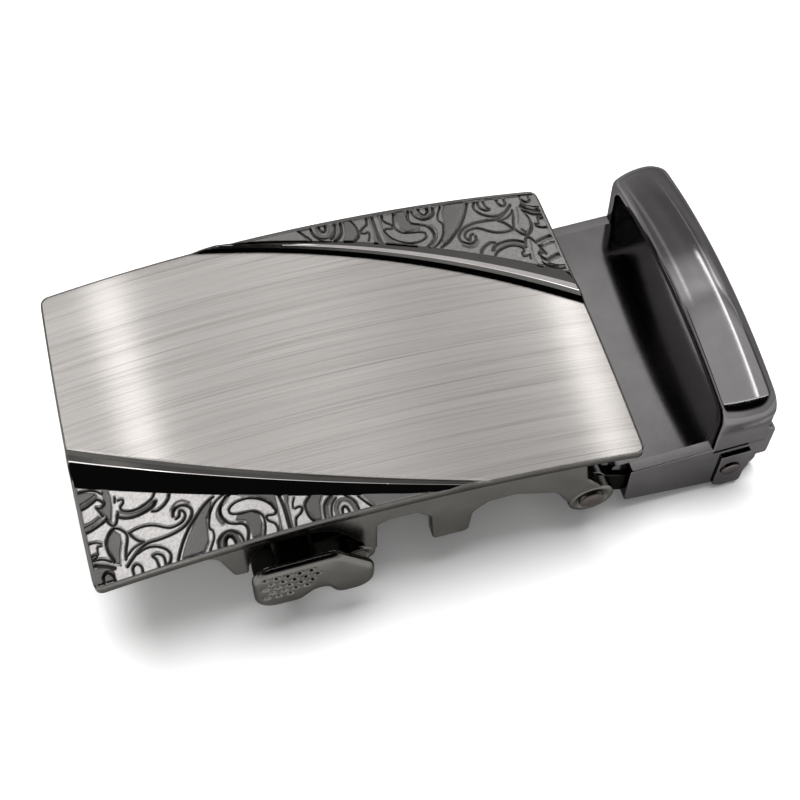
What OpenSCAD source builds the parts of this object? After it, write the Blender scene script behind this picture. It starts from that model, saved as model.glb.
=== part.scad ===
// Automatic (ratchet) belt buckle: an arched cover with two ridges and two corners of cast scrollwork,
// a spring lever whose pawl holds the belt, and a keeper with loop and jaw that grips the strap's cut end.
// Everything is drawn about the middle of the cover's top: +X runs along the belt towards the keeper,
// +Y away from the release lever, +Z out of the cover. placed() then moves it onto its resting plane.

/* [Cover plate] */
// Length of the cover along the belt
plate_len = 65; // [62:0.5:68]
// Width of the cover across the belt
plate_width = 40; // [39.5:0.1:40.5]
// How far the plate's ends lie below its middle
arch_rise = 3.15; // [2.8:0.05:3.5]
// Thickness of the plate
plate_t = 1.2; // [1.1:0.1:1.4]
// How far the short ends bow outwards
end_bow = 0.35; // [0.2:0.05:0.6]
// Radius of the plate's four corners
corner_r = 1; // [0.6:0.1:1.5]

/* [Cover walls] */
// Thickness of the side walls
wall_t = 1.8; // [1.6:0.1:2]
// Depth of the walls' lower edge below the cover's top
wall_depth = 8.8; // [8.2:0.1:9.4]
// Depth of the feet
foot_depth = 12.6; // [12:0.1:13.2]

/* [Ridges and relief] */
// Height of the ridges above the panel
ridge_h = 0.4; // [0.2:0.05:0.6]
// Depth of the relief's ground below the panel
ground_drop = 0.35; // [0.2:0.05:0.45]
// Width of the plain rim round the relief
rim_w = 0.65; // [0.4:0.05:0.8]

/* [Release lever] */
// Distance of the lever's axis left of the cover's middle
lever_x = 2.4; // [2.2:0.1:2.6]
// Depth of the lever's axis
lever_depth = 11.6; // [11.4:0.1:11.8]
// Thickness of the finger tab
tab_t = 1.4; // [1.2:0.1:1.5]
// Distance from the middle to the tab's outer face
tab_reach = 22.8; // [22.6:0.1:23.2]

/* [Keeper] */
// Distance of the keeper's hinge from the cover's middle
hinge_x = 26.8; // [26.6:0.1:27]
// Depth of the keeper's hinge
hinge_depth = 12.6; // [12.4:0.1:12.8]
// Angle at which the keeper stands up from the cover
keeper_tilt = 2.25; // [1.5:0.25:3]
// Width of the keeper
keeper_width = 37.5; // [37.3:0.1:37.7]
// Thickness of the keeper's base and walls
keeper_t = 1.6; // [1.5:0.1:1.7]
// Width of the loop's bar along the belt
bar_w = 7; // [6.6:0.1:7.2]
// Height of the loop's opening at its ends
loop_h = 7; // [6.5:0.1:7.5]
// How far the loop's bar bows up in the middle
bar_bow = 2.4; // [2:0.1:2.8]

/* [Pins] */
// Radius of the lever's pin and the jaw's pin
pin_r = 1; // [0.9:0.05:1.1]
// Radius of the hinge rivets
rivet_r = 1.2; // [1.1:0.05:1.3]

/* [Hidden] */
$fn = 48;

fit = 0.05;
bury = 0.4;
pad_t = 0.35;
arch_r = pow(plate_len / 2, 2) / (2 * arch_rise) + arch_rise / 2;
half_l = plate_len / 2;
half_w = plate_width / 2;
wall_out = half_w - 0.2;
wall_in = wall_out - wall_t;
half_k = keeper_width / 2;
keeper_in = half_k - keeper_t;
ear_out = wall_in - 0.2;
ear_t = 1.6;
ear_r = 2.7;
cover_ear_r = 2.9;
boss_r = 2.1;
hub_r = 2.2;

head_t = 0.3;
head_lap = 0.4;
pin_head_t = 0.2;
pin_lap = 0.3;
inner_head_t = 0.5;
base_top = 1.8;

// Outlines as rows of x, z, corner radius; a corner is rounded in short chords.
function unit(v) = v / norm(v);
function corner(a, b, c, n = 5) =
    let(p = [b[0], b[1]], u = unit([a[0], a[1]] - p), v = unit([c[0], c[1]] - p),
        half = acos(max(-1, min(1, u * v))) / 2, d = b[2] / tan(half),
        m = p + unit(u + v) * b[2] / sin(half),
        s = p + u * d - m, e = p + v * d - m, sweep = 180 - 2 * half,
        side = sign(s[0] * e[1] - s[1] * e[0]))
    b[2] <= 0 ? [p] :
    [for (i = [0:n]) let(t = side * sweep * i / n)
        m + [s[0] * cos(t) - s[1] * sin(t), s[0] * sin(t) + s[1] * cos(t)]];
function rounded(rows) =
    [for (i = [0:len(rows) - 1])
        each corner(rows[(i + len(rows) - 1) % len(rows)], rows[i], rows[(i + 1) % len(rows)])];

// The jaw's thumb bar in the keeper's frame, seen from the front: x, z, corner radius.
jaw_pin_x = 19.15;
jaw_pin_z = -4.1;
jaw_end = 24.2;
jaw_low = -9.2;
JAW = [
    [jaw_pin_x - 0.8, jaw_pin_z - 1.43, 0], [jaw_pin_x + 1.2, jaw_low, 1.2], [jaw_end, jaw_low, 1.4],
    [jaw_end, -5.4, 0.8], [jaw_pin_x + 2.4, -5.4, 0.8], [jaw_pin_x + 1.35, jaw_pin_z + 0.9, 0]];

// The jaw is the lowest and the furthest point, and the tab's face and a rivet head are the widest ones.
floor_z = -hinge_depth + min([for (p = rounded(JAW)) p[0] * sin(keeper_tilt) + p[1] * cos(keeper_tilt)]);
reach_x = hinge_x + max([for (p = rounded(JAW)) p[0] * cos(keeper_tilt) - p[1] * sin(keeper_tilt)]);
mid_x = (reach_x - half_l) / 2;
mid_y = (wall_out + head_t - tab_reach) / 2;

// Cover's side wall without the lever's notch: x, z, corner radius.
WALL = [
    [-24, 1, 0], [-24, -2.2, 0], [-18.6, -2.8, 2.2], [-17, -wall_depth, 0.9],
    [-6.2, -wall_depth, 1.6], [-3.6, -lever_depth, 0.8], [-0.1, -lever_depth, 0],
    [-0.1, -5.1, 0.7], [1.2, -4.3, 0.9], [4.6, -4.3, 1.2], [6.3, -6.4, 0.8], [6.7, -foot_depth, 0.7],
    [11.2, -foot_depth, 0.7], [11.5, -8, 1.3], [13.3, -6.1, 1.6], [16.6, -6.1, 2.5],
    [21.9, -8.6, 2.5], [24.3, -13.6, 0], [hinge_x, -hinge_depth, 0], [29.2, -11.4, 0],
    [25.7, -7, 2], [25.1, -3.2, 0.6], [25.1, 1, 0]];
// The lever's notch in the front wall.
NOTCH = [
    [-15.4, -16, 0], [-15.3, -7.6, 0.8], [-14.2, -2.7, 3], [-5.6, -2.7, 4.6], [-1.9, -8.6, 2.4], [-1.9, -16, 0]];

// Strokes of the scrollwork in the left front corner: start x, y, bend x, y, end x, y,
// then the width at the start, the middle and the end.
SCROLL = [
    [-20.9, -15.1, -21.6, -15.75, -24.6, -15.75, 0.7, 0.55, 0.45],
    [-24.6, -15.75, -26.8, -15.9, -28.2, -17.8, 0.45, 0.4, 0.3],
    [-22.9, -15.1, -24.8, -14.55, -27, -14.15, 0.25, 1.3, 0.2],
    [-28, -18, -27.2, -16.6, -25.3, -16.75, 0.3, 0.4, 0.45],
    [-25.3, -16.75, -23.2, -16.9, -23.5, -19.6, 0.45, 0.5, 0.4],
    [-25.1, -17.7, -24.2, -17.7, -24.4, -19.6, 0.3, 0.35, 0.3],
    [-28.7, -14.1, -28.8, -15.8, -28.75, -18.1, 2.1, 1.4, 0.25],
    [-28.7, -8, -28.7, -10, -28.7, -12.2, 1, 0.8, 0.7],
    [-32.1, -7.5, -30.6, -7.3, -29.6, -8.5, 0.35, 0.5, 0.3],
    [-32.1, -9.2, -30.6, -9.1, -29.7, -9.7, 0.35, 0.5, 0.3],
    [-32.1, -12, -30.6, -12.1, -29.5, -11.2, 0.4, 0.5, 0.3],
    [-28, -11.1, -26, -13, -23.8, -10.7, 0.3, 0.5, 0.3],
    [-27.9, -9.9, -26.9, -9.6, -27.4, -10.6, 0.25, 0.3, 0.25],
    [-24.3, -12.2, -22.5, -12.2, -22.1, -11, 0.3, 0.45, 0.3],
    [-17.5, -13.1, -19.9, -14.4, -20.8, -19.6, 0.3, 2, 2.9],
    [-16.2, -13.4, -18.4, -14.3, -18.1, -16.6, 0.3, 0.45, 0.35],
    [-18.1, -16.6, -17.9, -18, -18.7, -19.6, 0.35, 0.4, 0.5],
    [-15.2, -13.7, -18.6, -15.6, -15.2, -16.95, 0.4, 0.5, 0.4],
    [-15.2, -16.95, -13.7, -17, -14.3, -19.6, 0.4, 0.45, 0.4],
    [-15.2, -15.2, -13.8, -15, -12, -15.9, 1, 1.1, 0.5],
    [-13.2, -16.35, -12, -16.7, -12.8, -19.6, 0.3, 0.4, 0.4],
    [-13.8, -14.1, -11.2, -14.5, -10.95, -16.8, 0.35, 0.5, 0.35],
    [-11.8, -17.2, -11.2, -17.8, -11.3, -19.6, 0.4, 0.4, 0.4],
    [-10.3, -15.1, -10.3, -17, -10.3, -19.6, 0.3, 0.3, 0.3],
    [-9.5, -15.5, -9.5, -17, -9.5, -19.6, 0.3, 0.3, 0.3],
    [-8.5, -15.8, -9.2, -16.6, -8.5, -17.2, 0.3, 0.4, 0.5],
    [-8.5, -17.2, -8.9, -17.9, -8.9, -19.6, 0.4, 0.35, 0.4],
    [-6.7, -16.7, -7.2, -17.5, -6.8, -19.6, 0.5, 1.5, 1.2],
    [-4.5, -17, -5.7, -17.2, -5.5, -19.6, 0.3, 0.4, 0.35],
    [-0.7, -18.3, 2, -18.75, 5.2, -19.6, 1.4, 0.8, 0.2],
    [-32, -13.7, -30.9, -13.3, -30.4, -14.4, 0.3, 0.4, 0.3],
    [-32, -15.6, -31, -16, -30.7, -14.7, 0.3, 0.4, 0.3],
    [-32, -16.5, -30.5, -16.4, -29.6, -17.6, 0.5, 0.5, 0.3]];
// Coils and arches of the scrollwork: centre x, y, radius at start and end, angle at start and end,
// then the width at the start, the middle and the end.
COILS = [
    [-21.2, -13.8, 0.35, 1.25, 260, -75, 0.3, 0.45, 0.7],
    [-27.05, -18.6, 0.7, 0.7, 190, -10, 0.3, 0.35, 0.3],
    [-30.4, -18.6, 0.6, 0.6, 190, -10, 0.3, 0.35, 0.3],
    [-16.5, -18.9, 1.35, 1.35, 210, -30, 0.35, 0.35, 0.35],
    [-16.5, -18.9, 0.7, 0.7, 200, -20, 0.3, 0.3, 0.3],
    [-3.6, -18.6, 1.15, 1.15, 200, -20, 0.35, 0.4, 0.35],
    [-3.6, -18.8, 0.45, 0.45, 200, -20, 0.25, 0.25, 0.25]];
stroke_steps = 5;
coil_step = 30;

function bend_at(s, t) =
    pow(1 - t, 2) * [s[0], s[1]] + 2 * t * (1 - t) * [s[2], s[3]] + t * t * [s[4], s[5]];
function bend_way(s, t) =
    unit((1 - t) * ([s[2], s[3]] - [s[0], s[1]]) + t * ([s[4], s[5]] - [s[2], s[3]]));
function coil_at(s, t) =
    let(a = s[4] + (s[5] - s[4]) * t, r = s[2] + (s[3] - s[2]) * t) [s[0], s[1]] + r * [cos(a), sin(a)];
function coil_way(s, t) = unit(coil_at(s, t + 0.01) - coil_at(s, t - 0.01));
function breadth(s, t) = t < 0.5 ? s[6] + (s[7] - s[6]) * 2 * t : s[7] + (s[8] - s[7]) * (2 * t - 1);
function ribbon(mids, ways, widths) =
    concat([for (i = [0:len(mids) - 1]) mids[i] + [-ways[i][1], ways[i][0]] * widths[i] / 2],
           [for (i = [len(mids) - 1:-1:0]) mids[i] - [-ways[i][1], ways[i][0]] * widths[i] / 2]);

// The ridge's lines in plan are wide arcs of one radius whose centres drift apart, so that the ridge
// narrows from the plate's end to its long edge. Past its crest it steps down to the relief's ground.
ridge_arc_r = 180;
land_arc = [54.7, 155];
crest_arc = [52.6, 155.1];
slope_arc = [48, 155.8];
ground_arc = [43.4, 156.5];

module placed() {
    translate([-mid_x, -mid_y, -floor_z]) children();
}

// Extrudes a plan drawn in x and z along y, between two distances from the middle.
module across(y_from, y_to) {
    translate([0, y_to, 0]) rotate([90, 0, 0]) linear_extrude(y_to - y_from) children();
}

// A round bar along y.
module bar_y(x, z, r, y_from, y_to) {
    translate([x, y_to, z]) rotate([90, 0, 0]) cylinder(r = r, h = y_to - y_from);
}

// A copy of the child on either side of the belt.
module both_sides() {
    children();
    mirror([0, 1, 0]) children();
}

// The space under an arched face that lies the given height above the panel.
module under_arch(lift) {
    translate([0, half_w + 5, -arch_r]) rotate([90, 0, 0])
        cylinder(r = arch_r + lift, h = plate_width + 10, $fn = 360);
}

module plate_plan(inset = 0) {
    bow_r = (pow(half_w, 2) + pow(end_bow, 2)) / (2 * end_bow);
    intersection() {
        union() {
            square([plate_len - 2 * inset, plate_width - 2 * corner_r], center = true);
            square([plate_len - 2 * corner_r - 2 * end_bow, plate_width - 2 * inset], center = true);
            for (sx = [-1, 1], sy = [-1, 1])
                translate([sx * (half_l - end_bow - corner_r), sy * (half_w - corner_r)])
                    circle(r = corner_r - inset);
        }
        for (sx = [-1, 1])
            translate([sx * (half_l - bow_r), 0]) circle(r = bow_r - inset, $fn = 360);
    }
}

// The left front corner outside one of the ridge's lines.
module beyond(centre) {
    difference() {
        translate([-half_l - 1, -half_w - 1]) square([60, half_w + 1]);
        translate(centre) circle(r = ridge_arc_r, $fn = 360);
    }
}

// One stroke or coil of the scrollwork as a plan.
module stroke(s) {
    steps = [for (i = [0:stroke_steps]) i / stroke_steps];
    polygon(ribbon([for (t = steps) bend_at(s, t)], [for (t = steps) bend_way(s, t)],
        [for (t = steps) breadth(s, t)]));
}

module coil(s) {
    count = max(4, round(abs(s[5] - s[4]) / coil_step));
    steps = [for (i = [0:count]) i / count];
    polygon(ribbon([for (t = steps) coil_at(s, t)], [for (t = steps) coil_way(s, t)],
        [for (t = steps) breadth(s, t)]));
}

module relief_plan() {
    for (s = SCROLL) stroke(s);
    for (s = COILS) coil(s);
}

// The ground of one corner, cut into the plate.
module ground_cut() {
    difference() {
        linear_extrude(10, center = true) intersection() {
            beyond(slope_arc);
            plate_plan(rim_w);
        }
        under_arch(-ground_drop);
    }
}

// A layer of the corner between the buried part of the plate and a height above the panel.
module layer(lift) {
    intersection() {
        linear_extrude(10, center = true) children();
        difference() {
            under_arch(lift);
            under_arch(-plate_t + 0.3);
        }
    }
}

module corner_work() {
    layer(0) intersection() {
        relief_plan();
        beyond(ground_arc);
        plate_plan(rim_w / 2);
    }
    layer(ridge_h) intersection() {
        difference() {
            beyond(land_arc);
            beyond(crest_arc);
        }
        plate_plan();
    }
}

module wall_plan() {
    polygon(rounded(WALL));
    translate([-lever_x, -lever_depth]) circle(r = boss_r);
    translate([hinge_x, -hinge_depth]) circle(r = cover_ear_r);
}

module front_wall_plan() {
    difference() {
        polygon(rounded(WALL));
        polygon(rounded(NOTCH));
    }
    translate([-lever_x, -lever_depth]) circle(r = boss_r);
    translate([hinge_x, -hinge_depth]) circle(r = cover_ear_r);
}

module cover() color([0.35, 0.34, 0.33]) placed() {
    difference() {
        union() {
            difference() {
                intersection() {
                    linear_extrude(12, center = true) plate_plan();
                    difference() {
                        under_arch(0);
                        under_arch(-plate_t);
                    }
                }
                ground_cut();
                rotate([0, 0, 180]) ground_cut();
            }
            corner_work();
            rotate([0, 0, 180]) corner_work();
            intersection() {
                union() {
                    across(-wall_out, -wall_in) front_wall_plan();
                    across(wall_in, wall_out) wall_plan();
                }
                under_arch(-0.7);
            }
        }
        bar_y(-lever_x, -lever_depth, pin_r, -half_w, half_w);
        bar_y(hinge_x, -hinge_depth, rivet_r, -half_w, half_w);
    }
}

module lever_pin() color([0.45, 0.45, 0.44]) placed() {
    bar_y(-lever_x, -lever_depth, pin_r, -wall_out, wall_out);
}

// Finger tab, seen from the front: x, z, corner radius.
TAB = [
    [-15.4, -4.4, 2.2], [-5.4, -4.2, 2.2], [-1.1, -9.6, 2.2], [-1.3, -14.6, 2.2],
    [-5.8, -14.5, 1.6], [-7.4, -10.9, 1.2], [-10, -13.7, 1.6], [-15.4, -13.6, 2.6]];
// The pawl's plate, hub and tooth, seen from the front.
pawl_end = -14.8;
pawl_low = -18;
PAWL = [
    [pawl_end, pawl_low + 0.6, 0.8], [-9, pawl_low, 0.8], [-lever_x, -lever_depth - hub_r, 0],
    [-lever_x, -lever_depth + hub_r, 0], [-8, -10, 1], [-11.4, -10, 0.5], [-12.9, -7.6, 0.2],
    [pawl_end, -7.6, 0.2]];
arm_from = -12.4;
arm_to = -7.6;
arm_top = -4.9;
pawl_from = -wall_in + 0.3;
pawl_to = 10;
arm_end = -wall_in + 4;
belt_low = -9.6;
belt_high = -1.6;
dimple_r = 0.42;
dimple_pitch = 1.35;
dimple_x = -14;
// Rows of dimples: height, number of dimples.
dimple_rows = [[-5.6, 5], [-6.8, 5], [-8, 5], [-9.2, 4], [-10.4, 3]];

module release_lever() color([0.35, 0.34, 0.33]) placed() {
    tab_in = tab_reach - tab_t;
    difference() {
        union() {
            across(-tab_reach, -tab_in) polygon(rounded(TAB));
            across(-tab_in - bury, arm_end)
                polygon(rounded([[arm_from, -14.6, 0.6], [arm_to, -13.4, 0.6],
                    [arm_to, arm_top, 1], [arm_from, arm_top, 1]]));
            across(pawl_from, pawl_to) polygon(rounded(PAWL));
            bar_y(-lever_x, -lever_depth, hub_r, pawl_from, pawl_to);
        }
        bar_y(-lever_x, -lever_depth, pin_r + fit, -half_w - 1, half_w);
        for (r = [0:len(dimple_rows) - 1], i = [0:dimple_rows[r][1] - 1])
            translate([dimple_x + dimple_pitch * (i + (r % 2) / 2), -tab_reach - dimple_r * 0.4, dimple_rows[r][0]])
                sphere(r = dimple_r * 1.2, $fn = 16);
        // The belt's space above the arm, inside the wall.
        translate([-20, -wall_in + 2 * fit, belt_low]) cube([20, 10, belt_high - belt_low]);
    }
}

// The front rivet: its shank between the head on the wall and the head inside the keeper's ear.
module hinge_rivet() {
    inner_head = -ear_out + ear_t + 2 * fit;
    bar_y(hinge_x, -hinge_depth, rivet_r, -wall_out - fit, inner_head + fit);
    bar_y(hinge_x, -hinge_depth, rivet_r + head_lap, -wall_out - head_t, -wall_out);
    bar_y(hinge_x, -hinge_depth, rivet_r + head_lap, inner_head, inner_head + inner_head_t);
}

module hinge_rivet_front() color([0.5, 0.48, 0.46]) placed() hinge_rivet();
module hinge_rivet_back() color([0.5, 0.48, 0.46]) placed() mirror([0, 1, 0]) hinge_rivet();

// The keeper's own frame: the hinge's axis is the origin and the base lies level.
module on_keeper() {
    placed() translate([hinge_x, 0, -hinge_depth]) rotate([0, -keeper_tilt, 0]) children();
}

// Keeper's side wall: x, z, corner radius.
base_start = 3.4;
pad_start = 17.4;
wall_start = 5.3;
wall_end = 22;
cheek_end = 24.2;
bar_start = 15.9;
bar_end = bar_start + bar_w;
KEEPER_WALL = [
    [wall_start, base_top, 0], [wall_start, -5.8, 0.5], [pad_start, -7.7, 0.2], [18.6, -8.5, 1.2],
    [21.2, -8.4, 1.2], [wall_end, -5.4, 0.5], [wall_end, base_top, 0]];
// The wall's end beside the strap, set back from the wall's face.
CHEEK = [[20, -3.4, 0], [cheek_end, -3.4, 0.4], [cheek_end, 3.2, 0.9], [bar_end - 0.5, 4.2, 0], [20, 1, 0]];
cheek_back = 0.25;
loop_leg = 1.7;
opening_top = base_top + loop_h;
under_r = (pow(half_k - loop_leg, 2) + pow(bar_bow, 2)) / (2 * bar_bow);
under_z = opening_top + bar_bow - under_r;
crest_t = 2.3;
loop_corner = 2;
opening_corner = 2.2;
leg_back = 0.15;
// Section of the loop's bar: x, height above its bowed underside, corner radius.
BAR = [
    [bar_start, 0, 0.3], [bar_start, 1.6, 0.8], [bar_start + 3.4, crest_t + 0.1, 5],
    [bar_end, 1.5, 1.8], [bar_end, 0, 0]];

// The bar is turned about an axis along x, far below its middle.
module loop_bar() {
    half_sweep = asin(half_k / under_r) + 1;
    translate([0, 0, under_z]) rotate([90, 0, 90]) rotate([0, 0, 90 - half_sweep])
        rotate_extrude(angle = 2 * half_sweep, $fn = 240)
            polygon([for (p = rounded(BAR)) [under_r + p[1], p[0]]]);
}

// Fills a corner beside the given y and z with a round of the given radius, upwards or downwards.
module fillet(y, z, r, up) {
    difference() {
        translate([y - bury, min(z - up * bury, z + up * r)]) square([r + bury, r + bury]);
        translate([y + r, z + up * r]) circle(r = r);
    }
}

// A plan drawn in y and z, run along the loop's width.
module along_bar(spare = 0) {
    translate([bar_start - spare, 0, 0]) rotate([90, 0, 90]) linear_extrude(bar_w + 2 * spare) children();
}

// The loop seen along the belt: its outer corners are rounded and meet the bar's slope.
module loop_outline() {
    top_r = under_r + crest_t;
    end_z = under_z + sqrt(pow(top_r, 2) - pow(half_k, 2));
    slope = half_k / (end_z - under_z);
    along_bar(1) polygon(rounded([[-half_k, -2, 0], [half_k, -2, 0], [half_k, end_z, loop_corner],
        [0, end_z + half_k * slope, 0], [-half_k, end_z, loop_corner]]));
}

module loop() {
    leg_in = half_k - loop_leg;
    intersection() {
        union() {
            loop_bar();
            both_sides() {
                translate([bar_start + leg_back, -half_k, 0])
                    cube([bar_w - 2 * leg_back, loop_leg, opening_top + bury]);
                // The opening's rounded corners, above and below.
                along_bar(-3 * leg_back) {
                    fillet(-leg_in, opening_top, opening_corner, -1);
                    fillet(-leg_in, base_top, 1, 1);
                }
            }
        }
        loop_outline();
    }
}

module keeper() color([0.4, 0.38, 0.39]) on_keeper() {
    difference() {
        union() {
            translate([base_start, -half_k, base_top - keeper_t]) cube([bar_end - base_start, keeper_width, keeper_t]);
            both_sides() {
                across(-half_k, -keeper_in) polygon(rounded(KEEPER_WALL));
                across(-half_k + cheek_back, -keeper_in) polygon(rounded(CHEEK));
                across(-half_k - pad_t, -half_k + 0.2) intersection() {
                    polygon(rounded(KEEPER_WALL));
                    translate([pad_start, -12]) square([4, 11.6]);
                }
                across(-ear_out, -ear_out + ear_t) {
                    circle(r = ear_r);
                    polygon([[0, -ear_r], [0, base_top], [8, base_top], [8, -4.5], [5, -4.5]]);
                }
            }
            loop();
        }
        both_sides() bar_y(0, 0, rivet_r + fit, -half_w, 0);
        bar_y(jaw_pin_x, jaw_pin_z, pin_r, -half_w - 1, half_w + 1);
    }
}

module jaw_pin() color([0.5, 0.48, 0.46]) on_keeper() {
    pad_out = half_k + pad_t;
    bar_y(jaw_pin_x, jaw_pin_z, pin_r, -pad_out, pad_out);
    both_sides() bar_y(jaw_pin_x, jaw_pin_z, pin_r + pin_lap, -pad_out - pin_head_t, -pad_out);
}

jaw_half = keeper_in - 0.25;
jaw_hub_r = 1.65;
tooth_h = 0.8;
tooth_root = 0.3;
tooth_w = 1.6;
tooth_len = 1.2;
tooth_pitch = 3;
teeth_each_way = 5;

module strap_jaw() color([0.4, 0.38, 0.39]) on_keeper() {
    difference() {
        union() {
            across(-jaw_half, jaw_half) {
                polygon(rounded(JAW));
                translate([jaw_pin_x, jaw_pin_z]) circle(r = jaw_hub_r);
            }
            for (i = [-teeth_each_way:teeth_each_way])
                translate([jaw_pin_x, i * tooth_pitch, jaw_pin_z + jaw_hub_r - tooth_root]) rotate([90, 0, 90])
                    linear_extrude(tooth_len, center = true)
                        polygon([[-tooth_w / 2, 0], [tooth_w / 2, 0], [0, tooth_h]]);
        }
        bar_y(jaw_pin_x, jaw_pin_z, pin_r + fit, -half_w, half_w);
    }
}

cover();
lever_pin();
release_lever();
hinge_rivet_front();
hinge_rivet_back();
keeper();
jaw_pin();
strap_jaw();
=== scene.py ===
"""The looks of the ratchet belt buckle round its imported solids. Lengths in the tables are millimetres
in the cover's own frame: the origin is the middle of its top, +X towards the keeper, +Z out of its face."""
import math
import bpy
import numpy as np
from mathutils import Matrix, Vector


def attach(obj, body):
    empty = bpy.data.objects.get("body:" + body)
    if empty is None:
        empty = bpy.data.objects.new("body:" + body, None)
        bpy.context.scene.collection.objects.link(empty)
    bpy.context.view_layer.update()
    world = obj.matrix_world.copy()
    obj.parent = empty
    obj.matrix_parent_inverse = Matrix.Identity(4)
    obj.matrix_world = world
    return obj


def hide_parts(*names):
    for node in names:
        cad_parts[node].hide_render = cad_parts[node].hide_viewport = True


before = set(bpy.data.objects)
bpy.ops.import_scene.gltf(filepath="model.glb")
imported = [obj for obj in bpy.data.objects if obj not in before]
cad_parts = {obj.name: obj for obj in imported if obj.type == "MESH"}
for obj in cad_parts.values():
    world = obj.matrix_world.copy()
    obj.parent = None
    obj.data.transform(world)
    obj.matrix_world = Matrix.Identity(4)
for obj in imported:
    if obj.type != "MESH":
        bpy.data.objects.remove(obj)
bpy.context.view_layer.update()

# The row's origin in the cover's frame: on the floor, under the middle of the whole buckle.
MID = np.array((9.39378, -1.35, -20.966))
HINGE_X, HINGE_Z = 26.8, -12.6
TILT = math.radians(2.25)
HALF_L, HALF_W, END_BOW, CORNER = 32.5, 20.0, 0.35, 1.0
PLATE_T = 1.2
ARCH_R = 169.234
WALL_OUT, WALL_IN = 19.8, 18.0
LEVER_X, LEVER_Z = -2.4, -11.6
KEEPER_HALF, KEEPER_IN = 18.75, 17.15
BASE_TOP, BASE_LOW = 1.8, 0.2

# The ridge's lines in plan are arcs of one radius round these centres: where it leaves the panel, where
# its land begins, its crest and its foot.
ARC_R = 180.0
PANEL, LAND, CREST, FOOT = (56.2, 155), (54.7, 155), (52.6, 155.1), (43.4, 156.5)
RIDGE_H, DROP = 0.4, 0.22
LAND_RISE = 0.8


def placed(p):
    """Millimetres in the cover's frame to metres in the row's frame."""
    return (np.asarray(p, float) - MID) / 1000


def on_keeper(p):
    """Millimetres in the keeper's frame, whose origin is the hinge, to metres in the row's frame."""
    p = np.asarray(p, float)
    c, s = math.cos(TILT), math.sin(TILT)
    turned = np.stack([p[..., 0] * c - p[..., 2] * s, p[..., 1], p[..., 0] * s + p[..., 2] * c], -1)
    return placed(turned + (HINGE_X, 0, HINGE_Z))


def ease(t):
    t = np.clip(t, 0, 1)
    return t * t * (3 - 2 * t)


# Shader helpers
def new_material(name, metal=1.0):
    m = bpy.data.materials.new(name)
    m.use_nodes = True
    shader = m.node_tree.nodes["Principled BSDF"]
    shader.inputs["Metallic"].default_value = metal
    return m, m.node_tree, shader


def link(nt, value, socket):
    if isinstance(value, (int, float)):
        socket.default_value = value
    else:
        nt.links.new(value, socket)


def calc(nt, op, a, b=0.0, clamp=False):
    n = nt.nodes.new("ShaderNodeMath")
    n.operation, n.use_clamp = op, clamp
    link(nt, a, n.inputs[0])
    link(nt, b, n.inputs[1])
    return n.outputs[0]


def step(nt, value, low, high, at_low=0.0, at_high=1.0):
    """A soft step of a value between two limits."""
    n = nt.nodes.new("ShaderNodeMapRange")
    n.interpolation_type = "SMOOTHSTEP"
    nt.links.new(value, n.inputs["Value"])
    for name, v in (("From Min", low), ("From Max", high), ("To Min", at_low), ("To Max", at_high)):
        link(nt, v, n.inputs[name])
    return n.outputs[0]


def ramp(nt, value, stops):
    n = nt.nodes.new("ShaderNodeValToRGB")
    e = n.color_ramp.elements
    while len(e) < len(stops):
        e.new(0.5)
    for el, (pos, col) in zip(e, stops):
        el.position = pos
        el.color = (*col, 1) if isinstance(col, (tuple, list)) else (col, col, col, 1)
    nt.links.new(value, n.inputs[0])
    return n.outputs[0]


def blend_color(nt, share, a, b):
    n = nt.nodes.new("ShaderNodeMix")
    n.data_type = "RGBA"
    link(nt, share, n.inputs["Factor"])
    for v, name in ((a, "A"), (b, "B")):
        if isinstance(v, tuple):
            n.inputs[name].default_value = (*v, 1)
        else:
            nt.links.new(v, n.inputs[name])
    return n.outputs["Result"]


def object_point(nt, scale=(1, 1, 1)):
    tc = nt.nodes.new("ShaderNodeTexCoord")
    mp = nt.nodes.new("ShaderNodeMapping")
    mp.inputs["Scale"].default_value = scale
    nt.links.new(tc.outputs["Object"], mp.inputs["Vector"])
    return mp.outputs[0]


def noise(nt, point, scale, detail=4.0, rough=0.55):
    n = nt.nodes.new("ShaderNodeTexNoise")
    n.inputs["Scale"].default_value = scale
    n.inputs["Detail"].default_value = detail
    n.inputs["Roughness"].default_value = rough
    nt.links.new(point, n.inputs["Vector"])
    return n.outputs["Fac"]


def bump(nt, height, strength, distance, shader):
    b = nt.nodes.new("ShaderNodeBump")
    b.inputs["Strength"].default_value = strength
    b.inputs["Distance"].default_value = distance
    nt.links.new(height, b.inputs["Height"])
    nt.links.new(b.outputs[0], shader.inputs["Normal"])


def plating(name, color, rough, grain=0.15):
    """Electroplating over a die casting: faintly cloudy, with fine pits."""
    m, nt, shader = new_material(name)
    point = object_point(nt)
    cloud = noise(nt, point, 220, 5, 0.6)
    low, high = [c * 0.92 for c in color], [c * 1.1 for c in color]
    nt.links.new(ramp(nt, cloud, [(0.3, low), (0.7, high)]), shader.inputs["Base Color"])
    shader.inputs["Specular Tint"].default_value = (0.35, 0.35, 0.35, 1)
    fine = noise(nt, point, 2600, 3, 0.6)
    nt.links.new(ramp(nt, fine, [(0.25, rough * 0.8), (0.8, rough * 1.3)]), shader.inputs["Roughness"])
    bump(nt, fine, grain, 0.00003, shader)
    return m


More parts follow.
